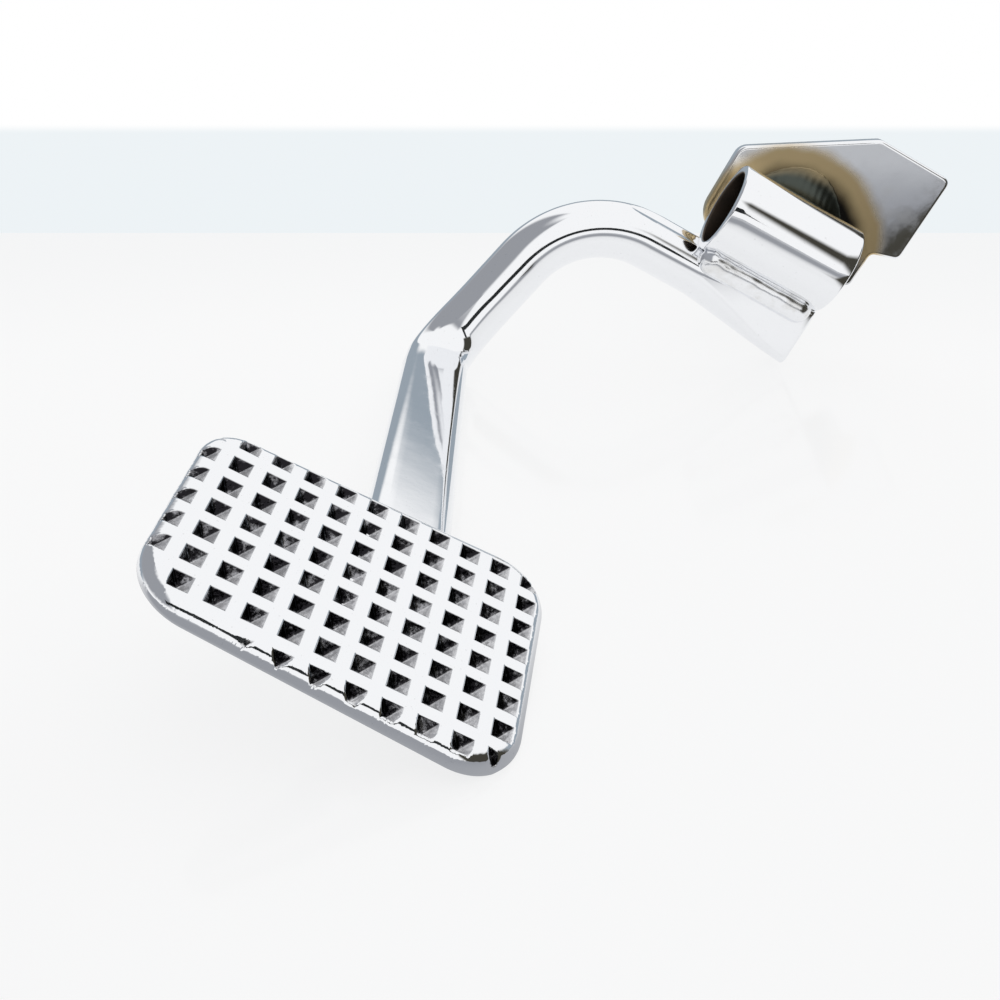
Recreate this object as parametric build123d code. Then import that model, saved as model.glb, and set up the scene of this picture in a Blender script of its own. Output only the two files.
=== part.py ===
from build123d import *
import math
import os

# Rear brake pedal of a motorbike: a chromed weldment of a stamped pad, a bent bar,
# a pivot tube and a lever plate.
# x points forward, y inboard along the pivot, z up, with the rear run of the bar level.
# The origin is the middle of the pivot bore. Sizes are in millimetres and degrees.

# Pivot tube
tube_length = 34.0
tube_outer = 22.0
tube_bore = 18.0
tube_edge_break = 0.5

# Place of the foot pad: the middle of its pit pattern, on the tread face
pad_forward = 141.0
pad_outboard = 64.3
pad_below = 60.2
pad_lean = 14.0

# Foot pad
pad_length = 60.0
pad_outer_width = 38.5
pad_inner_width = 47.0
pad_thickness = 3.6
pad_corner_radius = 8.5
pad_edge_roll = 2.6
pad_bottom_break = 0.4
pad_shift_outboard = 1.45
pad_shift_back = 1.5
pad_turn = -0.9

# Pyramid pits stamped into the tread face
pit_pitch = 5.5
pit_columns = 11
pit_rows = 8
pit_width = 3.5
pit_depth = 1.2
pit_tip = 0.2
pit_extra_column = 1
pit_edge_reach = 0.5

# Bar
bar_diameter = 13.5
flat_width = 15.2
flat_thickness = 8.8
flat_corner = 3.2
bar_below = 63.4
bar_under_pad_outboard = 58.8
bar_kink_outboard = 60.9
bar_kink_forward = 8.8
bar_top_outboard = 47.3
bar_past_pattern = 6.0
kink_radius = 12.0
shoulder_radius = 26.0
round_out_length = 9.0
bar_end_corner = 4.0

# Cross run of the bar, below the tube
cross_back = 3.7
cross_below = 16.2
foot_width = 12.4
foot_height = 14.8
foot_corner = 1.8
foot_back = 4.1
foot_below = 17.4
foot_length = 38.0

# Lever plate, behind the tube
plate_thickness = 4.0
plate_seat = 0.4
plate_outboard = 18.8
plate_inboard = 31.2
plate_top = 33.3
plate_bottom = 8.0
plate_notch_height = 7.5
plate_top_start = 10.7
plate_slant_drop = 17.8
plate_corner = 2.0
plate_heel_radius = 7.0

# Weld beads
pad_bead = 2.4
pad_bead_length = 20.0
pad_bead_middle = 8.0
cross_bead = 2.8
cross_bead_out = 4.8
heel_bead_out = 6.2
bead_end_gap = 2.0
corner_weld_start = -11.0
corner_weld_end = 15.5
corner_weld_ends = 1.5
corner_weld_middle = 6.8
corner_weld_root = 2.0

tube_radius = tube_outer / 2
bar_radius = bar_diameter / 2
plate_front = -(tube_radius - plate_seat)
tube_end = tube_length / 2


def solid_cylinder_along_y(radius, start, end, x=0.0, z=0.0):
    """A round rod along the pivot direction."""
    face = Plane(origin=(x, start, z), x_dir=(1, 0, 0), z_dir=(0, 1, 0)) * Circle(radius)
    return extrude(face, end - start)


def tube_body():
    return solid_cylinder_along_y(tube_radius, -tube_end, tube_end)


def make_tube():
    tube = tube_body() - solid_cylinder_along_y(tube_bore / 2, -tube_end, tube_end)
    rims = tube.edges().filter_by(GeomType.CIRCLE)
    return chamfer(rims, tube_edge_break)


# The pad's own plane: local x inboard, local y backward, local z out of the tread face.
pad_plane = Plane(
    origin=(pad_forward, -pad_outboard, -pad_below),
    x_dir=(0, 1, 0),
    z_dir=(math.sin(math.radians(pad_lean)), 0, math.cos(math.radians(pad_lean))),
)


def pad_outline():
    """The tapered pad, wider inboard, seen square to its tread face."""
    half = pad_length / 2
    corners = [
        (-half, -pad_outer_width / 2),
        (half, -pad_inner_width / 2),
        (half, pad_inner_width / 2),
        (-half, pad_outer_width / 2),
    ]
    blank = make_face(Polyline(*corners, close=True))
    blank = fillet(blank.vertices(), pad_corner_radius)
    return Pos(-pad_shift_outboard, pad_shift_back) * Rot(0, 0, pad_turn) * blank


def pit_places():
    """Pattern places whose middle lies on the pad, or just past its edge."""
    reach = offset(pad_outline(), pit_edge_reach)
    places = []
    for column in range(pit_columns):
        for row in range(pit_rows):
            x = (column - pit_extra_column - (pit_columns - pit_extra_column - 1) / 2) * pit_pitch
            y = (row - (pit_rows - 1) / 2) * pit_pitch
            if reach.face().is_inside((x, y, 0)):
                places.append((x, y))
    return places


def make_pad():
    plate = extrude(pad_outline(), -pad_thickness)
    plate = fillet(plate.faces().sort_by(Axis.Z)[-1].edges(), pad_edge_roll)
    plate = chamfer(plate.faces().sort_by(Axis.Z)[0].edges(), pad_bottom_break)
    slope = math.degrees(math.atan2((pit_width - pit_tip) / 2, pit_depth))
    punch = extrude(Rectangle(pit_width, pit_width), -pit_depth, taper=slope)
    punches = [Pos(x, y) * punch for x, y in pit_places()]
    return pad_plane * (plate - punches)


def pad_underside_block():
    """Everything above the pad's underside, to scarf the bar against it."""
    size = 4 * pad_length
    return pad_plane * Pos(0, 0, size / 2 - pad_thickness) * Box(size, size, size)


def carried(side, tangent_in, tangent_out):
    """A section's side direction, carried round a bend."""
    axis = Axis((0, 0, 0), tangent_in.cross(tangent_out))
    return side.rotate(axis, tangent_in.get_angle(tangent_out))


def flat_section(place):
    return place * RectangleRounded(flat_width, flat_thickness, flat_corner)


def bar_path():
    pad_end = (pad_forward + bar_past_pattern, -bar_under_pad_outboard, -bar_below)
    kink = (bar_kink_forward, -bar_kink_outboard, -bar_below)
    shoulder = (-cross_back, -bar_top_outboard, -cross_below)
    foot_start = (-cross_back, tube_end - foot_length, -cross_below)
    return FilletPolyline(pad_end, kink, shoulder, foot_start, radius=[kink_radius, shoulder_radius])


def make_arm():
    """Forged flat under the pad and through the kink, round over the shoulder, squared at the foot."""
    level, kink, riser, shoulder, cross = bar_path().edges().sort_by(bar_path())
    side = Vector(0, 1, 0)
    start = Plane(origin=level @ 0, x_dir=side, z_dir=level % 0)
    level_run = sweep(flat_section(start), path=level)
    level_end = Plane(origin=kink @ 0, x_dir=side, z_dir=kink % 0)
    kink_run = sweep(flat_section(level_end), path=kink)
    riser_side = carried(side, kink % 0, kink % 1)
    riser_start = Plane(origin=riser @ 0, x_dir=riser_side, z_dir=riser % 0)
    part_round = round_out_length / riser.length
    riser_round = Plane(origin=riser @ part_round, x_dir=riser_side, z_dir=riser % 0)
    round_out = loft([flat_section(riser_start), riser_round * Circle(bar_radius)])
    upper_riser = extrude(riser_round * Circle(bar_radius), riser.length - round_out_length)
    shoulder_start = Plane(origin=shoulder @ 0, x_dir=riser_side, z_dir=shoulder % 0)
    shoulder_run = sweep(shoulder_start * Circle(bar_radius), path=shoulder)
    cross_start = Plane(origin=cross @ 0, x_dir=(1, 0, 0), z_dir=(0, 1, 0))
    cross_run = extrude(cross_start * Circle(bar_radius), cross.length)
    foot_start = Plane(origin=cross @ 1, x_dir=(1, 0, 0), z_dir=(0, 1, 0))
    foot_end = Plane(origin=(-foot_back, tube_end, -foot_below), x_dir=(1, 0, 0), z_dir=(0, 1, 0))
    foot_face = foot_end * RectangleRounded(foot_width, foot_height, foot_corner)
    foot = loft([foot_start * Circle(bar_radius), foot_face])
    bar = level_run + kink_run + round_out + upper_riser + shoulder_run + cross_run + foot
    bar = bar - pad_underside_block() - tube_body()
    return bar


def plate_outline():
    corners = [
        (-plate_outboard, -plate_bottom),
        (tube_end, -plate_bottom),
        (tube_end, plate_notch_height),
        (plate_inboard, plate_notch_height),
        (plate_inboard, plate_top),
        (plate_top_start, plate_top),
        (-plate_outboard, plate_top - plate_slant_drop),
    ]
    blank = make_face(Polyline(*corners, close=True))
    points = blank.vertices()
    heel = [v for v in points if v.X < -tube_end]
    others = [v for v in points if v.X > tube_end + plate_corner or v.Y > plate_top - plate_corner]
    blank = fillet(heel, plate_heel_radius)
    others = [v for v in blank.vertices() if any((v.center() - o.center()).length < 0.01 for o in others)]
    return fillet(others, plate_corner)


def make_plate():
    stand = Plane(origin=(plate_front, 0, 0), x_dir=(0, 1, 0), z_dir=(1, 0, 0))
    return extrude(stand * plate_outline(), -plate_thickness) - tube_body()


def corner_section(y, fillet_radius):
    """A hollow fillet in the corner over the tube, between its crown and the plate."""
    centre = Vector(plate_front + fillet_radius, 0)
    height = math.sqrt((tube_radius + fillet_radius) ** 2 - centre.X ** 2)
    centre = Vector(centre.X, height)
    on_tube = centre.normalized() * tube_radius
    on_plate = Vector(plate_front, height)
    hollow = centre + ((on_tube + on_plate) / 2 - centre).normalized() * fillet_radius
    root = Vector(plate_front, corner_weld_root)
    edges = [ThreePointArc(on_plate, hollow, on_tube), Line(on_tube, root), Line(root, on_plate)]
    return Plane(origin=(0, y, 0), x_dir=(1, 0, 0), z_dir=(0, -1, 0)) * make_face(edges)


def make_corner_weld(plate):
    """The weld over the tube, fullest at its middle."""
    steps = 4
    sections = []
    for step in range(steps + 1):
        share = step / steps
        size = corner_weld_ends + (corner_weld_middle - corner_weld_ends) * math.sin(math.pi * share)
        y = corner_weld_start + (corner_weld_end - corner_weld_start) * share
        sections.append(corner_section(y, size))
    return loft(sections) - tube_body() - plate


def bead(start, end, radius):
    """A weld bead: a rod with round ends, before its neighbours are cut from it."""
    start = Vector(start)
    end = Vector(end)
    rod = extrude(Plane(origin=start, z_dir=end - start) * Circle(radius), (end - start).length)
    return rod + Pos(start) * Sphere(radius) + Pos(end) * Sphere(radius)


def make_pad_weld(arm, hand):
    """A bead beside the bar, on the pad's underside; hand is +1 inboard and -1 outboard."""
    drift = (bar_kink_outboard - bar_under_pad_outboard) / (pad_forward + bar_past_pattern - bar_kink_forward)
    middle = pad_outboard - bar_under_pad_outboard - drift * (bar_past_pattern + pad_bead_middle)
    half = pad_bead_length / 2
    ends = []
    for along in (-half, half):
        across = middle - drift * along + hand * flat_width / 2
        ends.append(pad_plane.from_local_coords((across, pad_bead_middle + along, -pad_thickness)))
    return bead(ends[0], ends[1], pad_bead) - pad_underside_block() - arm


def valley_bead(out):
    """A bead along the valley between tube and cross run, this far forward of their contact."""
    down = Vector(-cross_back, 0, -cross_below).normalized()
    forward = Vector(-down.Z, 0, down.X)
    place = down * tube_radius + forward * out
    reach = tube_end - bead_end_gap - cross_bead
    return bead(place - Vector(0, reach, 0), place + Vector(0, reach, 0), cross_bead)


if __name__ == "__main__":
    os.makedirs("parts", exist_ok=True)
    nodes = {}
    nodes["foot_pad"] = make_pad()
    nodes["pedal_arm"] = make_arm()
    nodes["pivot_tube"] = make_tube()
    nodes["lever_plate"] = make_plate()
    nodes["corner_weld"] = make_corner_weld(nodes["lever_plate"])
    around = [tube_body(), nodes["pedal_arm"], nodes["lever_plate"]]
    nodes["front_weld"] = valley_bead(cross_bead_out) - around
    nodes["heel_weld"] = valley_bead(-heel_bead_out) - around
    nodes["pad_weld_inboard"] = make_pad_weld(nodes["pedal_arm"], 1)
    nodes["pad_weld_outboard"] = make_pad_weld(nodes["pedal_arm"], -1)
    for name, solid in nodes.items():
        export_step(solid, f"parts/{name}.step")
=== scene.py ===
"""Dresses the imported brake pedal: chrome, welds, heat stain, a white table and the camera.

The frame is in metres. Shapes are worked out in millimetres, and add_piece scales them.
"""
import math

import bmesh
import bpy
import numpy as np
from bpy.props import FloatProperty, FloatVectorProperty, IntProperty, PointerProperty
from bpy.types import Operator, Panel, PropertyGroup
from mathutils import Matrix, Vector, noise
from mathutils.geometry import delaunay_2d_cdt


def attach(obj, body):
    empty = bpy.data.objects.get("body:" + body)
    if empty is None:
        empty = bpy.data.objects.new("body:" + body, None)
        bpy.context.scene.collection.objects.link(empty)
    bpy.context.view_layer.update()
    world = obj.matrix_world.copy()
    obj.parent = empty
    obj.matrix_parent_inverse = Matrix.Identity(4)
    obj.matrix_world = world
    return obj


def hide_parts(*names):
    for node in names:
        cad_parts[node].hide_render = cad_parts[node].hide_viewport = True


bl_info = {
    "name": "Chromed brake pedal",
    "version": (1, 0, 0),
    "blender": (4, 5, 0),
    "location": "View3D > Sidebar > Brake Pedal",
    "description": "Dresses the packed brake pedal: chrome plate, welds, stain and a white table",
    "category": "Object",
}

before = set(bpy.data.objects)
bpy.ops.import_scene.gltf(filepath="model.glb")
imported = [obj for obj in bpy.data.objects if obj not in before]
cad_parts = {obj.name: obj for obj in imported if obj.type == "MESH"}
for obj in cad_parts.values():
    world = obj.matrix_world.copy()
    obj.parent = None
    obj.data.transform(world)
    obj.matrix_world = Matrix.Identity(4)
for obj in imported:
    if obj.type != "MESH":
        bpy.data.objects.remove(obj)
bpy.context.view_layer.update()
MM = 0.001
WHITE = (1.0, 1.0, 1.0)


# Settings

def length(name, description, millimetres):
    return FloatProperty(name=name, description=description, default=millimetres * MM,
                         unit="LENGTH")


def colour(name, description, value):
    return FloatVectorProperty(name=name, description=description, default=value, size=3,
                               min=0, max=1, subtype="COLOR")


def share(name, description, value):
    return FloatProperty(name=name, description=description, default=value, min=0, max=1)


class PadSettings(PropertyGroup):
    place: FloatVectorProperty(
        name="Place", description="Middle of the pit pattern on the tread face",
        default=(0.1414, -0.0638, -0.0603), subtype="TRANSLATION", unit="LENGTH")
    lean: FloatProperty(
        name="Lean", description="Forward lean of the tread face",
        default=math.radians(14), unit="ROTATION")
    outer_end: length("Outer end", "From the pattern's middle to the outboard side", 31.6)
    inner_end: length("Inner end", "From the pattern's middle to the inboard side", 28.5)
    front_outer: length(
        "Front, outboard", "From the pattern's middle to the front side, outboard", 17.9)
    front_inner: length(
        "Front, inboard", "From the pattern's middle to the front side, inboard", 22.4)
    back_outer: length(
        "Back, outboard", "From the pattern's middle to the rear side, outboard", 21.3)
    back_inner: length(
        "Back, inboard", "From the pattern's middle to the rear side, inboard", 23.9)
    thickness: length("Thickness", "Thickness of the pad", 3.6)
    roll: length("Edge roll", "Radius of the rolled upper edge", 2.6)
    bottom_break: length("Bottom break", "Chamfer of the lower edge", 0.4)
    pitch: length("Pit pitch", "Distance between the pits", 5.5)
    pit_width: length("Pit width", "Width of a pyramid pit at the tread face", 3.5)
    pit_depth: length("Pit depth", "Depth of a pit", 1.55)
    columns: IntProperty(
        name="Columns", description="Columns of whole pits", default=10, min=1)
    rows: IntProperty(name="Rows", description="Rows of pits", default=8, min=1)


class BarSettings(PropertyGroup):
    round_size: length("Round diameter", "Diameter of the round run", 13.8)
    flat_width: length("Flat width", "Width of the forged flat", 15.4)
    flat_thickness: length("Flat thickness", "Thickness of the forged flat", 8.8)
    foot_width: length("Foot width", "Width of the squared foot", 12.6)
    foot_height: length("Foot height", "Height of the squared foot", 16.0)
    round_out: length(
        "Round-out", "Length over which the flat turns round, past the kink", 10.0)


class FixtureSettings(PropertyGroup):
    tube_outer: length("Tube diameter", "Outer diameter of the pivot tube", 22.0)
    tube_bore: length("Bore", "Diameter of the pivot bore", 18.0)
    tube_outboard: length(
        "Tube, outboard end", "From the middle of the bore to the outboard end", 17.0)
    tube_inboard: length(
        "Tube, inboard end", "From the middle of the bore to the inboard end", 15.8)
    plate_front: length(
        "Plate front", "From the pivot back to the plate's front face", 10.6)
    plate_thickness: length("Plate thickness", "Thickness of the lever plate", 4.0)


class FinishSettings(PropertyGroup):
    chrome: colour("Chrome", "Colour of the bright plate", (0.90, 0.91, 0.93))
    speck: colour("Speck", "Colour of the fine specks in the plate", (0.5, 0.5, 0.5))
    # The pits' walls are painted in a lit and a shaded copy: the pit colour, with its bright glint
    # scratches, is painted light on the lit walls, and the pit shade, with its lighter scratches,
    # is painted shade on the far walls.
    pit: colour("Pit", "Colour of the thin plate on the pits' lit walls", (0.55, 0.55, 0.57))
    pit_glint: colour("Pit glint", "Bright scratches on the lit walls", (0.90, 0.90, 0.92))
    pit_shade: colour("Pit shade", "Colour of the pits' shaded walls", (0.018, 0.017, 0.02))
    pit_scratch: colour("Pit scratch", "Scratches on the shaded walls", (0.34, 0.34, 0.36))
    # The bore colour is painted shade, near black for the shaded inside of the bore, over bare
    # steel; rust is its own colour.
    bore: colour("Bore", "Colour of the bare, oily bore", (0.055, 0.05, 0.045))
    rust: colour("Rust", "Colour of the rust in the bore", (0.10, 0.07, 0.05))
    # The darkest stain colour, the weld colour inside it and their reach are painted shade: near
    # black in the corner over the tube and on the weld there; the golden straw rim is the stain's
    # own colour.
    scorch: colour("Scorch", "Darkest colour of the heat stain", (0.012, 0.011, 0.010))
    scorched_weld: colour(
        "Scorched weld", "Colour of the weld inside the heat stain", (0.075, 0.085, 0.075))
    straw: colour("Straw", "Golden rim of the heat stain", (0.58, 0.45, 0.25))
    weld: colour("Weld", "Duller patches of the plated welds", (0.80, 0.80, 0.80))
    scorch_reach: length("Scorch reach", "From the stain's middle to the scorch's edge", 15.5)
    straw_reach: length("Straw reach", "From the stain's middle to the straw's edge", 21.5)
    roughness: share("Roughness", "Roughness of the bright plate", 0.05)
    wave: share("Wave", "Strength of the slow waves in the polish", 0.10)


class StageSettings(PropertyGroup):
    camera_place: FloatVectorProperty(
        name="Camera place", description="Where the camera stands, from the middle of the bore",
        default=(0.30489, -0.08459, 0.02642), subtype="TRANSLATION", unit="LENGTH")
    camera_pitch: FloatProperty(
        name="Camera pitch", description="How far the camera looks down at the table",
        default=math.radians(27), unit="ROTATION")
    camera_lens: FloatProperty(
        name="Lens", description="Focal length on a 36 mm wide sensor, in millimetres",
        default=45.22, min=1)
    table_up: FloatVectorProperty(
        name="Table up",
        description="The table's upward normal; the loose pedal rests on three points of it",
        default=(0.06158, -0.47262, 0.87911), subtype="DIRECTION")
    table_away: FloatVectorProperty(
        name="Table away", description="The direction along the table, away from the camera",
        default=(-0.99788, -0.04765, 0.04429), subtype="DIRECTION")
    table_drop: FloatProperty(
        name="Table drop", description="Distance of the table's top below the middle of the bore",
        default=0.03187, unit="LENGTH")
    table_reach: FloatProperty(
        name="Table reach", description="Distance from the camera to the table's far edge",
        default=0.425, unit="LENGTH")
    table_colour: colour("Table", "Colour of the glossy table top", (0.96, 0.965, 0.97))
    table_patch: colour("Table patches", "Colour of its faint patches", (0.95, 0.965, 0.975))
    backdrop_colour: colour(
        "Backdrop", "Colour of the low backdrop that the camera sees", (0.85, 0.895, 0.92))
    low_colour: colour(
        "Low surroundings", "What the chrome mirrors low behind the table", (0.33, 0.38, 0.43))
    # The dark, grey and far colours are also painted on the table as shade that only the chrome
    # sees
    olive_colour: colour(
        "Dark side", "What the chrome mirrors on the camera's right", (0.055, 0.052, 0.042))
    grey_colour: colour(
        "Grey side", "What the chrome mirrors behind the camera", (0.33, 0.34, 0.365))
    far_colour: colour(
        "Far side", "What the chrome mirrors far behind the camera", (0.52, 0.53, 0.55))
    card_width: length("Card width", "Width of the dark card at the camera", 330.0)
    card_height: length("Card height", "Height of the dark card at the camera", 52.0)
    card_colour: colour("Card", "Colour of the dark card", (0.012, 0.014, 0.014))
    card_weave: colour("Card weave", "Lighter colour of its weave", (0.03, 0.034, 0.034))


# Node helpers

class Nodes:
    """A short way to add nodes to one tree and join their sockets."""

    def __init__(self, tree):
        self.tree = tree

    def add(self, kind, **values):
        node = self.tree.nodes.new(kind)
        for key, value in values.items():
            if hasattr(node, key):
                setattr(node, key, value)
            else:
                node.inputs[key].default_value = value
        return node

    def put(self, value, socket):
        if isinstance(value, bpy.types.NodeSocket):
            self.tree.links.new(value, socket)
        elif isinstance(value, (tuple, list)) and len(value) == 3 and socket.type == "RGBA":
            socket.default_value = (*value, 1)
        else:
            socket.default_value = value

    def math(self, operation, *values):
        node = self.add("ShaderNodeMath", operation=operation)
        for value, socket in zip(values, node.inputs):
            self.put(value, socket)
        return node.outputs[0]

    def flip(self, value):
        """1 where the value is 0, and 0 where it is 1."""
        return self.math("SUBTRACT", 1.0, value)

    def dot(self, vector, direction):
        node = self.add("ShaderNodeVectorMath", operation="DOT_PRODUCT")
        self.put(vector, node.inputs[0])
        self.put(tuple(direction), node.inputs[1])
        return node.outputs["Value"]

    def split(self, vector):
        """The x, y and z of a vector."""
        node = self.add("ShaderNodeSeparateXYZ")
        self.put(vector, node.inputs[0])
        return node.outputs

    def distance(self, a, b):
        squares = self.math("MULTIPLY", a, a), self.math("MULTIPLY", b, b)
        return self.math("SQRT", self.math("ADD", *squares))

    def step(self, value, low, high):
        """0 at low, 1 at high, smooth between."""
        node = self.add("ShaderNodeMapRange", interpolation_type="SMOOTHSTEP")
        for title, level in (("Value", value), ("From Min", low), ("From Max", high)):
            self.put(level, node.inputs[title])
        return node.outputs["Result"]

    def window(self, value, low, high, soft):
        """1 between low and high, with soft edges."""
        rise = self.step(value, low - soft, low)
        fall = self.step(value, high, high + soft)
        return self.math("MULTIPLY", rise, self.flip(fall))

    def mix(self, factor, a, b):
        """From colour a to colour b."""
        node = self.add("ShaderNodeMix", data_type="RGBA")
        for value, index in ((factor, 0), (a, 6), (b, 7)):
            self.put(value, node.inputs[index])
        return node.outputs[2]

    def blend(self, factor, a, b):
        """From number a to number b."""
        node = self.add("ShaderNodeMix", data_type="FLOAT")
        for value, index in ((factor, 0), (a, 2), (b, 3)):
            self.put(value, node.inputs[index])
        return node.outputs[0]

    def mix_shaders(self, factor, a, b):
        node = self.add("ShaderNodeMixShader")
        for value, socket in zip((factor, a, b), node.inputs):
            self.put(value, socket)
        return node.outputs[0]

    def noise(self, place, scale, detail=2.0, rough=0.5):
        node = self.add("ShaderNodeTexNoise", Scale=scale, Detail=detail, Roughness=rough)
        self.put(place, node.inputs["Vector"])
        return node.outputs["Fac"]

    def attribute(self, title):
        return self.add("ShaderNodeAttribute", attribute_name=title).outputs["Fac"]

    def object_place(self):
        return self.add("ShaderNodeTexCoord").outputs["Object"]

    def group(self, tree, **values):
        """A node group with its own values; in their names, _ stands for a space."""
        node = self.add("ShaderNodeGroup", node_tree=tree)
        for title, value in values.items():
            self.put(value, node.inputs[title.replace("_", " ")])
        return node.outputs


def new_group(name, numbers, outputs):
    """An empty node group with a place and numbers going in and numbers coming out."""
    tree = bpy.data.node_groups.new(name, "ShaderNodeTree")
    tree.interface.new_socket("Place", in_out="INPUT", socket_type="NodeSocketVector")
    for title in numbers:
        tree.interface.new_socket(title, in_out="INPUT", socket_type="NodeSocketFloat")
    for title in outputs:
        tree.interface.new_socket(title, in_out="OUTPUT", socket_type="NodeSocketFloat")
    nodes = Nodes(tree)
    given = nodes.add("NodeGroupInput").outputs
    return tree, nodes, given, nodes.add("NodeGroupOutput").inputs


# Finishes

# Scales of the noises in the polish, in waves per metre
SLOW_WAVES, FINE_WAVES, HAZE_WAVES, SPECK_WAVES = 90.0, 700.0, 240.0, 1900.0
FINE_SHARE = 0.08
CLEAR_TO_HAZED = (0.7, 1.9)     # shares of the roughness where the polish is clear and hazed
SPECK_STRENGTH = 0.25
WAVE_DISTANCE = 0.3         # millimetres
STAIN_INBOARD = 4.75        # the stain's middle on the plate, in millimetres
STAIN_BELOW = 1.6
STAIN_RAGGED = 1.2
STAIN_OUTBOARD = (2.0, -14.0)   # between these the stain widens
STAIN_WIDER = 1.6
STRAW_RISE = (1.0, 8.0)     # the straw fades in above the stain's middle
# Soft edges of the painted corner shade and of the straw rim
CORNER_SHADE_SOFT, STRAW_SOFT = 5.0, 4.0


def polish_group():
    """Slow waves, fine haze and a few specks in the plate."""
    tree, nodes, given, out = new_group(
        "polish", ("Roughness",), ("Height", "Roughness", "Speck"))
    place, rough = given["Place"], given["Roughness"]
    slow, fine = nodes.noise(place, SLOW_WAVES, 1.0), nodes.noise(place, FINE_WAVES, 3.0)
    nodes.put(nodes.blend(FINE_SHARE, slow, fine), out["Height"])
    haze = nodes.step(nodes.noise(place, HAZE_WAVES, 3.0), 0.45, 0.75)
    clear, hazed = (nodes.math("MULTIPLY", rough, part) for part in CLEAR_TO_HAZED)
    nodes.put(nodes.blend(haze, clear, hazed), out["Roughness"])
    nodes.put(nodes.step(nodes.noise(place, SPECK_WAVES, 1.0), 0.72, 0.78), out["Speck"])
    return tree


def stain_group():
    """The heat stain round the weld on the plate: how golden it is, and where the painted shade
    lies in the corner over the tube.
    """
    tree, nodes, given, out = new_group(
        "heat_stain", ("Scorch Reach", "Straw Reach"), ("Scorch", "Straw"))
    parts = nodes.split(given["Place"])
    across = nodes.math("MULTIPLY_ADD", parts["Y"], 1 / MM, -STAIN_INBOARD)
    up = nodes.math("MULTIPLY_ADD", parts["Z"], 1 / MM, STAIN_BELOW)
    ragged = nodes.math("MULTIPLY_ADD", nodes.noise(given["Place"], 130.0, 2.0),
                        2 * STAIN_RAGGED, -STAIN_RAGGED)
    outboard = nodes.step(across, *STAIN_OUTBOARD)
    radius = nodes.math("ADD", nodes.distance(across, up), ragged)
    radius = nodes.math("MULTIPLY_ADD", outboard, -STAIN_WIDER, radius)

    def within(reach, soft):
        return nodes.flip(nodes.step(radius, reach, nodes.math("ADD", reach, soft)))

    # The Scorch output is the painted shade in the corner over the tube
    nodes.put(within(given["Scorch Reach"], CORNER_SHADE_SOFT), out["Scorch"])
    beside = nodes.math("MAXIMUM", nodes.step(up, *STRAW_RISE), outboard)
    straw = within(given["Straw Reach"], STRAW_SOFT)
    nodes.put(nodes.math("MULTIPLY", straw, beside), out["Straw"])
    return tree


def new_material(name):
    material = bpy.data.materials.new(name)
    material.use_nodes = True
    nodes = Nodes(material.node_tree)
    nodes.tree.nodes.clear()
    output = nodes.add("ShaderNodeOutputMaterial")
    shader = nodes.add("ShaderNodeBsdfPrincipled")
    nodes.put(shader.outputs["BSDF"], output.inputs["Surface"])
    return material, nodes, shader, output


class Chrome:
    """A chrome material with the shared polish, ready for a piece's own marks."""

    def __init__(self, name, wave=1.0):
        self.settings = bpy.context.scene.pedal_finish
        self.material, nodes, self.shader, _ = new_material(name)
        self.nodes = nodes
        self.place = nodes.object_place()
        tree = bpy.data.node_groups.get("polish") or polish_group()
        polish = nodes.group(tree, Place=self.place, Roughness=self.settings.roughness)
        bump = nodes.add("ShaderNodeBump", Strength=self.settings.wave * wave,
                         Distance=WAVE_DISTANCE * MM)
        nodes.put(polish["Height"], bump.inputs["Height"])
        speck = nodes.math("MULTIPLY", polish["Speck"], SPECK_STRENGTH)
        self.base = nodes.mix(speck, self.tone("chrome"), self.tone("speck"))
        self.roughness = polish["Roughness"]
        self.normal = bump.outputs["Normal"]
        self.shader.inputs["Metallic"].default_value = 1
        self.set({"Base Color": self.base, "Roughness": self.roughness, "Normal": self.normal})

    def tone(self, title):
        return tuple(getattr(self.settings, title))

    def set(self, values):
        for title, value in values.items():
            self.nodes.put(value, self.shader.inputs[title])


def pad_finish():
    """Bright lands; the pits are scratched, with painted shade on their far walls and painted light
    on their other walls, which are also less metallic.
    """
    chrome = Chrome("pad_chrome", 0.5)
    nodes, tone = chrome.nodes, chrome.tone
    inside = nodes.step(nodes.attribute("pit"), 0.03, 0.14)
    # The pits' far walls get painted shade and their other walls painted light
    shaded = nodes.step(nodes.attribute("lee"), 0.35, 0.65)
    patches = nodes.noise(chrome.place, 420.0, 4.0, 0.7)
    scratches = nodes.step(patches, 0.42, 0.62)
    dark = nodes.mix(nodes.step(patches, 0.50, 0.66), tone("pit_shade"), tone("pit_scratch"))
    light = nodes.mix(scratches, tone("pit"), tone("pit_glint"))
    base = nodes.mix(inside, chrome.base, nodes.mix(shaded, light, dark))
    dull = nodes.math("MULTIPLY", inside, nodes.flip(shaded))
    rough = nodes.blend(inside, chrome.roughness, nodes.blend(scratches, 0.10, 0.24))
    grain = nodes.add("ShaderNodeBump", Distance=0.08 * MM)
    nodes.put(nodes.math("MULTIPLY", inside, 0.8), grain.inputs["Strength"])
    nodes.put(nodes.noise(chrome.place, 1500.0, 3.0), grain.inputs["Height"])
    nodes.put(chrome.normal, grain.inputs["Normal"])
    chrome.set({"Base Color": base, "Roughness": rough, "Normal": grain.outputs["Normal"],
                "Metallic": nodes.math("MULTIPLY_ADD", dull, -0.7, 1.0)})
    return chrome.material


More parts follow.
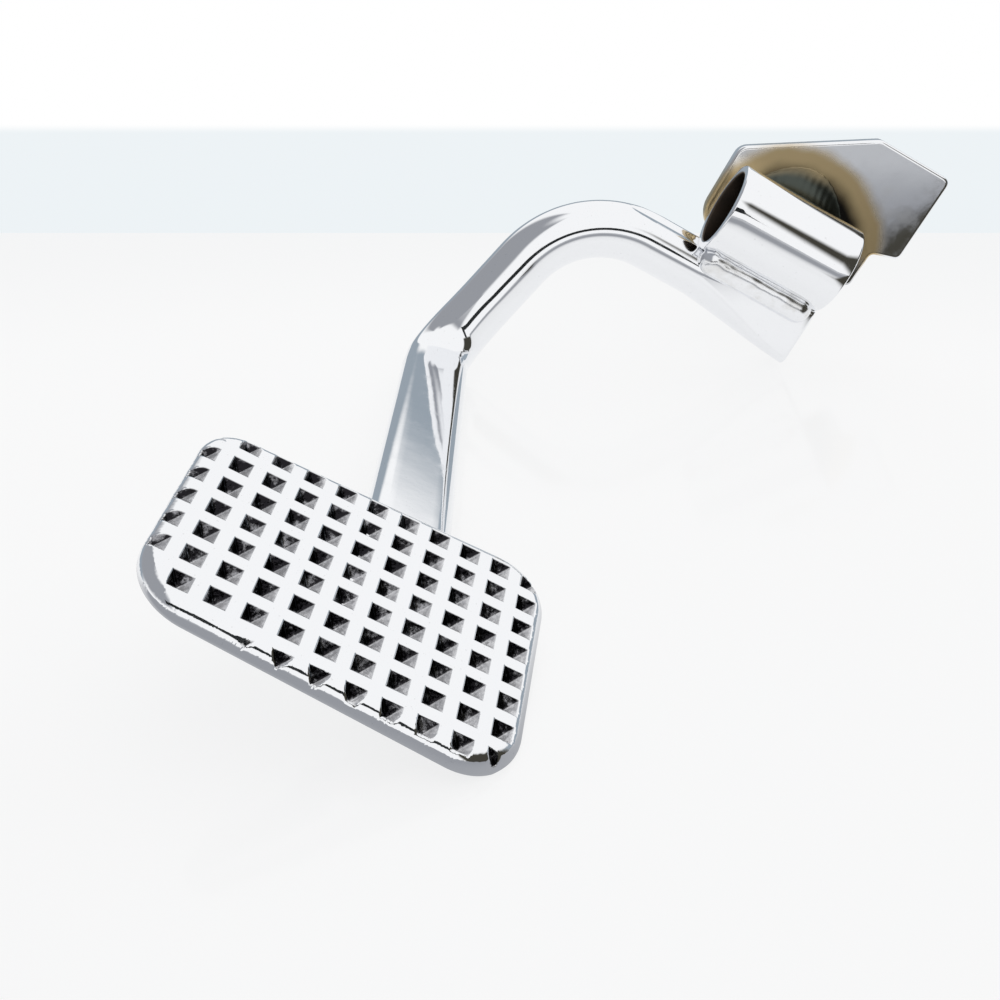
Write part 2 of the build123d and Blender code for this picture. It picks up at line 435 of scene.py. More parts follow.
def tube_finish(bore):
    """Bright outside; the bore is painted near black as shade, in patches of bare steel and rust;
    the bore's radius is given.
    """
    chrome = Chrome("tube_chrome", 0.7)
    nodes = chrome.nodes
    parts = nodes.split(chrome.place)
    radius = nodes.distance(parts["X"], parts["Z"])
    inside = nodes.flip(nodes.step(radius, bore + 0.1 * MM, bore + 0.5 * MM))
    patches = nodes.noise(chrome.place, 300.0, 4.0)
    # Painted shade in the bore: near black, over patches of bare steel and rust
    shade_and_rust = nodes.mix(patches, chrome.tone("bore"), chrome.tone("rust"))
    chrome.set({"Base Color": nodes.mix(inside, chrome.base, shade_and_rust),
                "Roughness": nodes.blend(inside, chrome.roughness, 0.42)})
    return chrome.material


def stained_finish(name, scorch):
    """Chrome with the heat stain round the upper weld and painted shade in the corner over the
    tube, as dark as the colour setting that it is given.
    """
    chrome = Chrome(name)
    nodes, settings = chrome.nodes, chrome.settings
    tree = bpy.data.node_groups.get("heat_stain") or stain_group()
    stain = nodes.group(tree, Place=chrome.place, Scorch_Reach=settings.scorch_reach / MM,
                        Straw_Reach=settings.straw_reach / MM)
    base = nodes.mix(stain["Straw"], chrome.base, chrome.tone("straw"))
    # Painted shade in the corner over the tube, over the heat stain
    base = nodes.mix(stain["Scorch"], base, chrome.tone(scorch))
    hazed = nodes.math("MULTIPLY", chrome.roughness, 1.6)
    chrome.set({"Base Color": base, "Roughness": nodes.blend(stain["Straw"], hazed, 0.34)})
    return chrome.material


def weld_finish():
    """Plated over unground weld, in duller patches."""
    chrome = Chrome("weld_chrome", 0.8)
    nodes = chrome.nodes
    patches = nodes.noise(chrome.place, 260.0, 4.0)
    base = nodes.mix(nodes.step(patches, 0.45, 0.7), chrome.base, chrome.tone("weld"))
    chrome.set({"Base Color": base, "Roughness": nodes.blend(patches, 0.08, 0.22)})
    return chrome.material


# Mesh helpers, in millimetres

def add_piece(name, points, faces, material, nodes, attributes=()):
    """A mesh piece that stands for CAD nodes and rides on the body."""
    if not faces:
        raise RuntimeError(f"{name} has no faces")
    mesh = bpy.data.meshes.new(name)
    mesh.from_pydata([Vector(point) * MM for point in points], [], faces)
    for title in attributes:
        values = mesh.attributes.new(title, "FLOAT", "POINT")
        values.data.foreach_set("value", attributes[title])
    build = bmesh.new()
    build.from_mesh(mesh)
    bmesh.ops.remove_doubles(build, verts=build.verts, dist=0.002 * MM)
    bmesh.ops.recalc_face_normals(build, faces=build.faces)
    for face in build.faces:
        face.smooth = True
    build.to_mesh(mesh)
    build.free()
    mesh.materials.append(material)
    piece = bpy.data.objects.new(name, mesh)
    bpy.context.scene.collection.objects.link(piece)
    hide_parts(*nodes)
    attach(piece, "root")
    return piece


def skin(rings, closed=False):
    """Faces over a row of equal rings, with its ends capped or joined."""
    count = len(rings[0])
    points = [point for ring in rings for point in ring]
    faces = []
    for row in range(len(rings) if closed else len(rings) - 1):
        here, there = row * count, (row + 1) % len(rings) * count
        for k in range(count):
            after = (k + 1) % count
            faces.append((here + k, here + after, there + after, there + k))
    if not closed:
        faces.append(tuple(range(count)))
        faces.append(tuple(range(len(points) - count, len(points))))
    return points, faces


def round_corners(corners, radii, spacing=0.5):
    """A closed outline with its corners rounded, as evenly spaced points."""
    outline = []
    count = len(corners)
    for index, corner in enumerate(corners):
        corner = Vector(corner)
        before = (Vector(corners[index - 1]) - corner).normalized()
        after = (Vector(corners[(index + 1) % count]) - corner).normalized()
        half = before.angle(after) / 2
        radius = radii[index]
        start = corner + before * radius / math.tan(half)
        end = corner + after * radius / math.tan(half)
        centre = corner + (before + after).normalized() * radius / math.sin(half)
        sweep = math.pi - 2 * half
        steps = max(4, round(radius * sweep / spacing))
        for step in range(steps + 1):
            angle = (start - centre).angle_signed(end - centre) * (step / steps)
            outline.append(centre + Matrix.Rotation(-angle, 2) @ (start - centre))
    dense = []
    for index, point in enumerate(outline):
        following = outline[(index + 1) % len(outline)]
        steps = max(1, round((following - point).length / spacing))
        dense += [point.lerp(following, step / steps) for step in range(steps)]
    return dense


def inset(outline, distance):
    """The outline's points, moved in by a distance."""
    moved = []
    for index, point in enumerate(outline):
        along = outline[(index + 1) % len(outline)] - outline[index - 1]
        moved.append(point + Vector((-along.y, along.x)).normalized() * distance)
    return moved


def depth_inside(outline, places):
    """Distance of each place from the outline, negative outside it."""
    ring = np.array([tuple(point) for point in outline])
    best = np.full(len(places), 1e9)
    inside = np.zeros(len(places), bool)
    for a, b in zip(ring, np.roll(ring, -1, axis=0)):
        span = b - a
        along = np.clip(((places - a) @ span) / (span @ span), 0, 1)
        gap = np.linalg.norm(places - a - along[:, None] * span, axis=1)
        best = np.minimum(best, gap)
        crosses = (a[1] > places[:, 1]) != (b[1] > places[:, 1])
        rise = span[1] if span[1] else 1e-12
        inside ^= crosses & (places[:, 0] < a[0] + (places[:, 1] - a[1]) * span[0] / rise)
    return np.where(inside, best, -best)


def eased(part):
    part = min(max(part, 0.0), 1.0)
    return part * part * (3 - 2 * part)


def between(first, last, part):
    return first + (last - first) * part


def quarter_turn(*degrees):
    """For each angle of a quarter turn, the shares left across and along a rounded edge."""
    turns = [math.radians(angle) for angle in degrees]
    return [(1 - math.cos(turn), 1 - math.sin(turn)) for turn in turns]


def rounded(width, height, corner):
    """Eighty points round a section whose corners run from tight to a full circle."""
    half_width, half_height = width / 2, height / 2
    quarter = [(half_width, (half_height - corner) * step / 4) for step in range(4)]
    for step in range(13):
        turn = math.radians(90 * step / 12)
        quarter.append((half_width - corner * (1 - math.cos(turn)),
                        half_height - corner * (1 - math.sin(turn))))
    quarter += [((half_width - corner) * (1 - step / 4), half_height) for step in range(1, 4)]
    top = quarter + [(0, half_height)] + [(-x, y) for x, y in reversed(quarter)]
    return top + [(-x, -y) for x, y in top[1:-1]]


# Foot pad

PAD_CORNERS = (10.5, 9.5, 9.5, 6.5)     # radii: front outer, front inner, back inner, back outer
PIT_HEART = 0.10        # half width of the flat bottom of a pit
PIT_LADDER = (0.0, PIT_HEART, 0.55, 1.1)    # grid lines down a pit, from its middle
PIT_EDGES = (-0.28, -0.14, 0.0, 0.10, 0.4)  # grid lines beside a pit's edge, positive outside
PIT_SOFT = 0.06         # softness of the crease at a pit's edge
PIT_REACH = -0.2        # pits past the outline by more than this are left out
GRID_REACH = 0.09       # grid points nearer the outline than this are left out
MARGIN = 0.55           # spacing of the grid lines beyond the pits
ROLL_TURNS = (0, 10, 20, 31, 42, 54, 66, 78, 90)    # rings over the rolled edge, in degrees
# The pits' lit and shaded walls are painted light and painted shade
SHADE_SIDE_SOFT = 0.3          # softness of the line between a pit's lit and shaded walls


def pad_axes(pad):
    """The pad's inboard, backward and outward directions."""
    normal = Vector((math.sin(pad.lean), 0, math.cos(pad.lean)))
    inboard = Vector((0, 1, 0))
    return inboard, normal.cross(inboard), normal


def pad_outline(pad):
    corners = [(-pad.outer_end, -pad.front_outer), (pad.inner_end, -pad.front_inner),
               (pad.inner_end, pad.back_inner), (-pad.outer_end, pad.back_outer)]
    return round_corners([(x / MM, y / MM) for x, y in corners], PAD_CORNERS)


def pit_middles(pad, outline):
    """Middles of the pits on the pad; one more column is cut through by its outer side."""
    pitch = pad.pitch / MM
    middles = []
    for column in range(-1, pad.columns):
        for row in range(pad.rows):
            x = (column - (pad.columns - 1) / 2) * pitch
            y = (row - (pad.rows - 1) / 2) * pitch
            if depth_inside(outline, np.array([[x, y]]))[0] > PIT_REACH:
                middles.append((x, y))
    return middles


def grid_lines(count, spare, pitch, offsets):
    """Lines across a row of pits, with some plain ones beyond the last."""
    values = set()
    for step in range(-spare, count):
        middle = (step - (count - 1) / 2) * pitch
        values.update(round(middle + sign * offset, 4) for offset in offsets for sign in (-1, 1))
    for step in range(1, 6):
        values.add(round(((count - 1) / 2 + 0.5) * pitch + step * MARGIN, 4))
        values.add(round(-((count - 1) / 2 + 0.5 + spare) * pitch - step * MARGIN, 4))
    return sorted(values)


def pit_creases(middles, ladder, numbers):
    """Edges up the four creases of each pit, as pairs of point numbers."""
    creases = []
    for x, y in middles:
        for turn_x in (-1, 1):
            for turn_y in (-1, 1):
                steps = [numbers.get((round(x + turn_x * u, 4), round(y + turn_y * u, 4)))
                         for u in ladder]
                creases += [pair for pair in zip(steps, steps[1:]) if None not in pair]
    return creases


def tread_mesh(pad, outline, middles):
    """Flat points and faces of the tread, with lines along the pits and round the edge."""
    half = pad.pit_width / MM / 2
    pitch, roll = pad.pitch / MM, pad.roll / MM
    ladder = (*PIT_LADDER, *(half + edge for edge in PIT_EDGES if edge <= 0))
    beside = [half + edge for edge in PIT_EDGES if edge > 0]
    offsets = (*ladder, *beside, pitch / 2)
    columns = grid_lines(pad.columns, 1, pitch, offsets)
    rows = grid_lines(pad.rows, 0, pitch, offsets)
    grid = np.array([(x, y) for x in columns for y in rows])
    numbers = {}
    places = []
    for (x, y), depth in zip(grid, depth_inside(outline, grid)):
        if depth > GRID_REACH:
            numbers[(round(x, 4), round(y, 4))] = len(places)
            places.append((x, y))
    creases = pit_creases(middles, ladder, numbers)
    border = list(range(len(places), len(places) + len(outline)))
    for across, _ in quarter_turn(*ROLL_TURNS):
        places += [tuple(point) for point in inset(outline, roll * across)]
    vectors = [Vector(place) for place in places]
    found = delaunay_2d_cdt(vectors, creases, [border], 1, 1e-5)
    return np.array([tuple(point) for point in found[0]]), [tuple(face) for face in found[2]]


def tread(pad, outline):
    """The tread face and the rolled edge: points, faces, each point's pit value and how far it lies
    on a pit's painted-shade side.
    """
    half, roll, depth = pad.pit_width / MM / 2, pad.roll / MM, pad.pit_depth / MM
    middles = pit_middles(pad, outline)
    spots, faces = tread_mesh(pad, outline, middles)
    inside = np.clip(depth_inside(outline, spots), 0, None)
    fall = np.clip(roll - inside, 0, roll)
    face = -(roll - np.sqrt(np.maximum(roll * roll - fall * fall, 0)))
    steepness = depth / (half - PIT_HEART)
    pits, lee = np.zeros(len(spots)), np.zeros(len(spots))
    for x, y in middles:
        u = np.maximum(np.abs(spots[:, 0] - x), np.abs(spots[:, 1] - y))
        # The pits' back and outboard walls get the painted shade
        turned = np.clip((spots[:, 1] - y - spots[:, 0] + x) / SHADE_SIDE_SOFT + 0.5, 0, 1)
        lee = np.where(u <= half, turned, lee)
        pits = np.maximum(pits, np.clip(half - np.maximum(u, PIT_HEART), 0, None) * steepness)
    near = np.clip(1 - np.abs(face + pits) / (2 * PIT_SOFT), 0, 1)
    height = np.minimum(face, -pits)
    height = np.where(pits > 0, height - near * near * PIT_SOFT * 0.5, height)
    amount = np.where(-pits < face - 0.02, (face + pits) / depth, 0.0)
    points = [(x, y, z) for (x, y), z in zip(spots, height)]
    return points, faces, [float(value) for value in amount], [float(value) for value in lee]


class PEDAL_OT_pad(Operator):
    """Build the foot pad with its grid of pyramid pits, which runs over the rolled edge"""
    bl_idname = "pedal.pad"
    bl_label = "Foot Pad"

    def execute(self, context):
        pad = context.scene.pedal_pad
        outline = pad_outline(pad)
        points, faces, pits, lee = tread(pad, outline)
        start, count = len(points), len(outline)
        skirt = ((0.0, pad.roll), (0.0, pad.thickness - pad.bottom_break),
                 (pad.bottom_break, pad.thickness))
        for across, drop in skirt:
            points += [(*point, -drop / MM) for point in inset(outline, across / MM)]
        for row in range(len(skirt) - 1):
            for k in range(count):
                here, after = (start + row * count + step for step in (k, (k + 1) % count))
                faces.append((here, after, after + count, here + count))
        faces.append(tuple(range(len(points) - count, len(points))))
        plain = [0.0] * (len(points) - start)
        inboard, backward, normal = pad_axes(pad)
        middle = Vector(pad.place) / MM
        placed = [middle + inboard * x + backward * y + normal * z for x, y, z in points]
        add_piece("pad_plated", placed, faces, pad_finish(), ["foot_pad"],
                  {"pit": pits + plain, "lee": lee + plain})
        return {"FINISHED"}


# Bar

# Corners of the bar's middle line, from under the pad to above the foot's start
BAR_CORNERS = ((147.4, -58.7, -63.4), (8.7, -60.85, -63.4), (-3.8, -47.35, -16.2),
               (-3.8, -13.5, -16.2))
BAR_BENDS = (("kink", 12.0), ("shoulder", 26.0))
BAR_END = (-4.1, 16.6, -18.0)
PIVOTWARD = Vector((0, 1, 0))
FLAT_TURN = math.radians(8)     # the flat leans by this much about its length
FLAT_CORNER, FOOT_CORNER = 3.2, 2.0
FRONT_NOSE, FOOT_NOSE = 1.4, 0.7    # rounded edges of the bar's two ends
FOOT_START = 0.1        # how far the section has squared at the foot's first step
LEAD = 8.0              # the changes of section and side begin or end this far from a bend
PAD_FROM = 90.0         # forward of this the bar lies under the pad
SUNK = 0.08             # seated points end this far below the surface that they meet


def bar_path():
    """Stations along the middle line: a point, its direction and its stretch."""
    corners = [Vector(corner) for corner in BAR_CORNERS]
    stations = []
    here = corners[0]

    def straight(start, end):
        steps = max(2, round((end - start).length / 1.2))
        direction = (end - start).normalized()
        for step in range(steps):
            stations.append((start.lerp(end, step / steps), direction, "run"))

    for index, (stretch, radius) in enumerate(BAR_BENDS, 1):
        before = (corners[index - 1] - corners[index]).normalized()
        after = (corners[index + 1] - corners[index]).normalized()
        half = before.angle(after) / 2
        start = corners[index] + before * radius / math.tan(half)
        centre = corners[index] + (before + after).normalized() * radius / math.sin(half)
        straight(here, start)
        axis = before.cross(after).normalized()
        turn = math.pi - 2 * half
        steps = max(36, round(turn * radius / 0.6))
        for step in range(steps):
            rotation = Matrix.Rotation(-turn * step / steps, 3, axis)
            stations.append((centre + rotation @ (start - centre), rotation @ -before, stretch))
        here = corners[index] + after * radius / math.tan(half)
    straight(here, corners[-1])
    steps = 40
    for step in range(steps + 1):
        stations.append((corners[-1].lerp(Vector(BAR_END), step / steps), PIVOTWARD, "foot"))
    return stations


def bar_sides(stations, travelled, twist_start, twist_end):
    """The section's side, carried along the bar and turned square to the pivot at the foot."""
    side = Matrix.Rotation(FLAT_TURN, 3, "X") @ PIVOTWARD
    carried = []
    before = stations[0][1]
    for _, tangent, _ in stations:
        side = before.rotation_difference(tangent) @ side
        side = (side - tangent * side.dot(tangent)).normalized()
        carried.append(side.copy())
        before = tangent
    forward = Vector((1, 0, 0))
    twist = math.atan2(before.dot(side.cross(forward)), side.dot(forward))
    turned = []
    for (_, tangent, _), distance, side in zip(stations, travelled, carried):
        part = eased((distance - twist_start) / (twist_end - twist_start))
        turned.append(Matrix.Rotation(twist * part, 3, tangent) @ side)
    return turned


def bar_ring(centre, tangent, side, shape):
    up = tangent.cross(side)
    return [centre + side * x + up * y for x, y in rounded(*shape)]


def bar_nose(station, side, shape, radius):
    """Rings over the rounded edge of the bar's end; a negative radius is for its start."""
    centre, tangent, _ = station
    width, height, corner = shape
    rings = []
    for across, along in quarter_turn(0, 22, 45, 67, 90):
        less = abs(radius) * across
        shrunk = (width - 2 * less, height - 2 * less, max(corner - less, 0.3))
        rings.append(bar_ring(centre - tangent * radius * along, tangent, side, shrunk))
    return rings


class PEDAL_OT_arm(Operator):
    """Build the bar: forged flat at the pad, round through its two bends, squared at its foot"""
    bl_idname = "pedal.arm"
    bl_label = "Pedal Arm"

    def execute(self, context):
        bar = context.scene.pedal_bar
        stations = bar_path()
        travelled = [0.0]
        for (a, _, _), (b, _, _) in zip(stations, stations[1:]):
            travelled.append(travelled[-1] + (b - a).length)
        stretch = {}
        for distance, station in zip(travelled, stations):
            stretch.setdefault(station[2], []).append(distance)
        flat_end = stretch["kink"][0] - LEAD
        kink_end = stretch["kink"][-1]
        foot, total = stretch["foot"][0], travelled[-1]
        sides = bar_sides(stations, travelled, kink_end + bar.round_out / MM, foot - LEAD)
        flat = (bar.flat_width / MM, bar.flat_thickness / MM, FLAT_CORNER)
        thick = (bar.round_size / MM, bar.round_size / MM, bar.round_size / 2 / MM)
        square = (bar.foot_width / MM, bar.foot_height / MM, FOOT_CORNER)
        rings = []
        for (centre, tangent, _), distance, side in zip(stations, travelled, sides):
            if distance < foot:
                part = eased((distance - flat_end) / (kink_end - flat_end + bar.round_out / MM))
                shape = [between(a, b, part) for a, b in zip(flat, thick)]
            else:
                part = (distance - foot) / (total - foot)
                part = eased(part * (1 - FOOT_START) + FOOT_START) if part else 0.0
                shape = [between(a, b, part) for a, b in zip(thick, square)]
            rings.append(bar_ring(centre, tangent, side, shape))
        front = bar_nose(stations[0], sides[0], flat, -FRONT_NOSE)
        foot_nose = bar_nose(stations[-1], sides[-1], square, FOOT_NOSE)
        points, faces = skin(front[::-1] + rings[2:-2] + foot_nose)
        add_piece("arm_plated", self.seated(context, points), faces, Chrome("bar_chrome").material,
                  ["pedal_arm"])
        return {"FINISHED"}

    def seated(self, context, points):
        """The points, with those inside the pad or the tube moved to just under its surface."""
        pad = context.scene.pedal_pad
        normal = pad_axes(pad)[2]
        tread_middle = Vector(pad.place) / MM
        radius = context.scene.pedal_fixture.tube_outer / 2 / MM - SUNK
        moved = []
        for point in points:
            above = (point - tread_middle).dot(normal) + pad.thickness / MM - SUNK
            if above > 0 and point.x > PAD_FROM:
                point = point - normal * above
            spread = math.hypot(point.x, point.z)
            if spread < radius:
                point = Vector((point.x * radius / spread, point.y, point.z * radius / spread))
            moved.append(point)
        return moved


# Tube and plate

TUBE_EDGE, PLATE_EDGE = 0.55, 0.6       # radii of the broken edges
TUBE_SIDES = 160
# The plate's corners, inboard and up from the bore's middle, and their radii
PLATE_CORNERS = ((-18.6, -8.0), (13.0, -8.0), (15.5, -3.0), (24.2, -3.0), (24.2, 6.8),
                 (31.2, 8.8), (31.2, 31.0), (10.7, 31.0), (-18.6, 13.4))
PLATE_RADII = (7.0, 2.0, 1.5, 1.6, 1.6, 1.8, 2.0, 3.0, 3.5)


class PEDAL_OT_tube(Operator):
    """Turn the pivot tube with its broken edges"""
    bl_idname = "pedal.tube"
    bl_label = "Pivot Tube"

    def execute(self, context):
        fixture = context.scene.pedal_fixture
        outer, bore = fixture.tube_outer / 2 / MM, fixture.tube_bore / 2 / MM
        left, right = -fixture.tube_outboard / MM, fixture.tube_inboard / MM
        corners = ((left, outer, -1, 1), (right, outer, 1, 1), (right, bore, 1, -1),
                   (left, bore, -1, -1))
        profile = []
        for number, (y, radius, end, way) in enumerate(corners):
            arc = [(y - end * TUBE_EDGE * across, radius - way * TUBE_EDGE * along)
                   for across, along in quarter_turn(*range(0, 91, 15))]
            profile += arc if number in (0, 2) else arc[::-1]
        dense = []
        for index, (y, radius) in enumerate(profile):
            next_y, next_radius = profile[(index + 1) % len(profile)]
            steps = 12 if abs(next_y - y) > 3 else 1
            dense += [(between(y, next_y, step / steps), between(radius, next_radius, step / steps))
                      for step in range(steps)]
        rings = []
        for step in range(TUBE_SIDES):
            turn = 2 * math.pi * step / TUBE_SIDES
            rings.append([(radius * math.cos(turn), y, radius * math.sin(turn))
                          for y, radius in dense])
        points, faces = skin(rings, closed=True)
        add_piece("tube_plated", points, faces, tube_finish(fixture.tube_bore / 2),
                  ["pivot_tube"])
        return {"FINISHED"}


class PEDAL_OT_plate(Operator):
    """Cut the lever plate, with broken edges all round"""
    bl_idname = "pedal.plate"
    bl_label = "Lever Plate"

    def execute(self, context):
        fixture = context.scene.pedal_fixture
        outline = round_corners(PLATE_CORNERS, PLATE_RADII, 0.8)
        front = -fixture.plate_front / MM
        back = front - fixture.plate_thickness / MM
        edge = [(PLATE_EDGE * along, inset(outline, PLATE_EDGE * across))
                for across, along in quarter_turn(0, 30, 60, 90)]
        rings = [[(front - drop, *point) for point in ring] for drop, ring in reversed(edge)]
        rings += [[(back + drop, *point) for point in ring] for drop, ring in edge]
        # A ring just inside the rounded edge lets the flat faces shade flat
        inner = inset(outline, 1.5 * PLATE_EDGE)
        rings = [[(front, *point) for point in inner], *rings, [(back, *point) for point in inner]]
        points, faces = skin(rings)
        # The plate gets the heat stain and the painted shade in the corner over the tube
        add_piece("plate_plated", points, faces, stained_finish("plate_chrome", "scorch"),
                  ["lever_plate"])
        return {"FINISHED"}


# Welds

# The two beads below the tube: name, distance from the tube's lowest line, radius and node
TUBE_BEADS = (("front_bead", 5.2, 3.6, "front_weld"), ("heel_bead", -6.0, 3.2, "heel_weld"))
TUBE_BEAD_ENDS = (-12.4, 11.4)
TUBE_BEAD_PITCH = 2.4
# The two beads under the pad: name, side of the bar and node
PAD_BEADS = (("pad_bead_inboard", 1, "pad_weld_inboard"),
             ("pad_bead_outboard", -1, "pad_weld_outboard"))
PAD_BEAD_RADIUS, PAD_BEAD_PITCH, PAD_BEAD_RIPPLE = 2.2, 1.6, 0.05
PAD_BEAD_MIDDLE, PAD_BEAD_REACH = 8.0, 10.0
BAR_PAST_PATTERN = 14.0     # from the bar's front end back to the beads' middle
LUMP, LUMP_SCALE = 0.10, 0.35
CORNER_ENDS = (-11.0, 13.8)
CORNER_SIZES = (1.5, 6.8)   # of the hollow weld, at its ends and its middle
CORNER_RIPPLE = 0.04
CORNER_RIPPLES = 13


def bead(start, end, radius, pitch, ripple):
    """A bead with round ends, overlapping scallops and slow lumps: its points and faces."""
    length_along = (end - start).length
    tangent = (end - start).normalized()
    side = tangent.orthogonal().normalized()
    up = tangent.cross(side)
    steps, corners = 150, 40
    rings = []
    for step in range(steps + 1):
        place = -radius + (length_along + 2 * radius) * step / steps
        past_end = max(-place, place - length_along, 0.0)
        size = math.sqrt(max(1 - (past_end / radius) ** 2, 0.0004)) * radius
        scallop = ripple * math.sin(2 * math.pi * (place / pitch % 1.0))
        spot = start + tangent * place
        ring = []
        for k in range(corners):
            turn = 2 * math.pi * k / corners
            out = side * math.cos(turn) + up * math.sin(turn)
            lump = LUMP * noise.noise((spot + out * radius) * LUMP_SCALE)
            ring.append(spot + out * (size * (1 + 0.5 * scallop / radius)
                                      + lump * min(size / radius, 1)))
        rings.append(ring)
    return skin(rings)


class PEDAL_OT_welds(Operator):
    """Lay the weld beads"""
    bl_idname = "pedal.welds"
    bl_label = "Welds"

    def execute(self, context):
        fixture = context.scene.pedal_fixture
        radius = fixture.tube_outer / 2 / MM
        self.corner(fixture, radius)
        finish = weld_finish()
        back, _, below = BAR_CORNERS[-1]
        down = Vector((back, 0, below)).normalized()
        forward = Vector((-down.z, 0, down.x))
        for name, out, size, node in TUBE_BEADS:
            ends = [down * radius + forward * out + Vector((0, y, 0)) for y in TUBE_BEAD_ENDS]
            points, faces = bead(*ends, size, TUBE_BEAD_PITCH, 0.0)
            add_piece(name, points, faces, finish, [node])
        pad = context.scene.pedal_pad
        inboard, backward, normal = pad_axes(pad)
        pattern = Vector(pad.place) / MM
        underside = pattern - normal * (pad.thickness / MM)
        bar_start, kink = BAR_CORNERS[:2]
        drift = (bar_start[1] - kink[1]) / (bar_start[0] - kink[0])
        half_width = context.scene.pedal_bar.flat_width / 2 / MM
        for name, hand, node in PAD_BEADS:
            ends = []
            for along in (-PAD_BEAD_REACH, PAD_BEAD_REACH):
                bar_across = bar_start[1] - pattern.y - drift * (BAR_PAST_PATTERN + along)
                ends.append(underside + inboard * (bar_across + hand * half_width)
                            + backward * (PAD_BEAD_MIDDLE + along))
            points, faces = bead(*ends, PAD_BEAD_RADIUS, PAD_BEAD_PITCH, PAD_BEAD_RIPPLE)
            add_piece(name, points, faces, finish, [node])
        return {"FINISHED"}

    def corner(self, fixture, radius):
        """The hollow weld over the tube, fullest at its middle."""
        front = -fixture.plate_front / MM
        thin, full = CORNER_SIZES
        steps, arc_steps = 110, 20
        rings = []
        for step in range(steps + 1):
            part = step / steps
            size = thin + (full - thin) * math.sin(math.pi * part)
            size += CORNER_RIPPLE * math.sin(2 * math.pi * part * CORNER_RIPPLES)
            y = between(*CORNER_ENDS, part)
            # The hollow's centre touches the plate's front and the tube from outside
            centre_x = front + size
            height = math.sqrt((radius + size) ** 2 - centre_x ** 2)
            centre = Vector((centre_x, height))
            on_tube = centre * radius / centre.length
            first, last = Vector((front, height)) - centre, on_tube - centre
            ring = []
            for k in range(arc_steps + 1):
                direction = first.lerp(last, k / arc_steps).normalized()
                ring.append((centre.x + direction.x * size, y, centre.y + direction.y * size))
            # The root runs inside the tube and the plate
            ring += [(on_tube.x - 0.4, y, on_tube.y - 1.2), (front - 0.3, y, 2.4),
                     (front - 0.3, y, height * 0.7)]
            rings.append(ring)
        points, faces = skin(rings)
        # The weld is painted dark as shade in the corner over the tube
        add_piece("corner_bead", points, faces, stained_finish("scorched_weld", "scorched_weld"),
                  ["corner_weld"])


# Stage

TABLE_HALF = 2.0        # metres, to each side and behind the camera
TABLE_GLOW = 0.78       # share of the table's white that the camera sees as plain light
# What the chrome mirrors in the table is painted shade, by distance ahead of the camera's foot in
# metres: lighter grey far behind the foot, darker grey near it and white further ahead
GREY_BLEND = (-0.30, 0.02)
WHITE_BLEND = (0.12, 0.23)
# The painted dark shade on the table starts this far to the right, and further out nearer the
# camera
DARK_FROM, DARK_SLANT, DARK_SLANT_END = 0.085, 0.5, 0.20
DARK_SOFT = 0.015
DARK_SPAN = (-1.0, 0.26, 0.02)
# Tones of the surroundings besides white: setting, then lowest, highest and soft edge in
# degrees, first above the table and then clockwise from straight away
SURROUNDINGS = (
    ("low_colour", (-14.0, 14.5, 5.0), (-72.0, 72.0, 25.0)),
    ("grey_colour", (18.0, 70.0, 14.0), (-148.0, -38.0, 14.0)),
    ("olive_colour", (-2.0, 29.0, 7.0), (84.0, 146.0, 10.0)),
)
BACKDROP_TOP = (-0.190, -0.182)     # slopes between which the camera sees the backdrop end
CARD_BEHIND, CARD_ABOVE = 0.01, 0.006   # metres from the camera


def directions(settings):
    """Up from the table, away from the camera and to its right."""
    up = Vector(settings.table_up).normalized()
    away = Vector(settings.table_away)
    away = (away - up * away.dot(up)).normalized()
    return up, away, away.cross(up)


def stage_sheet(name, corners, material):
    mesh = bpy.data.meshes.new(name)
    mesh.from_pydata(corners, [], [(0, 1, 2, 3)])
    mesh.materials.append(material)
    sheet = bpy.data.objects.new(name, mesh)
    bpy.context.scene.collection.objects.link(sheet)
    return sheet


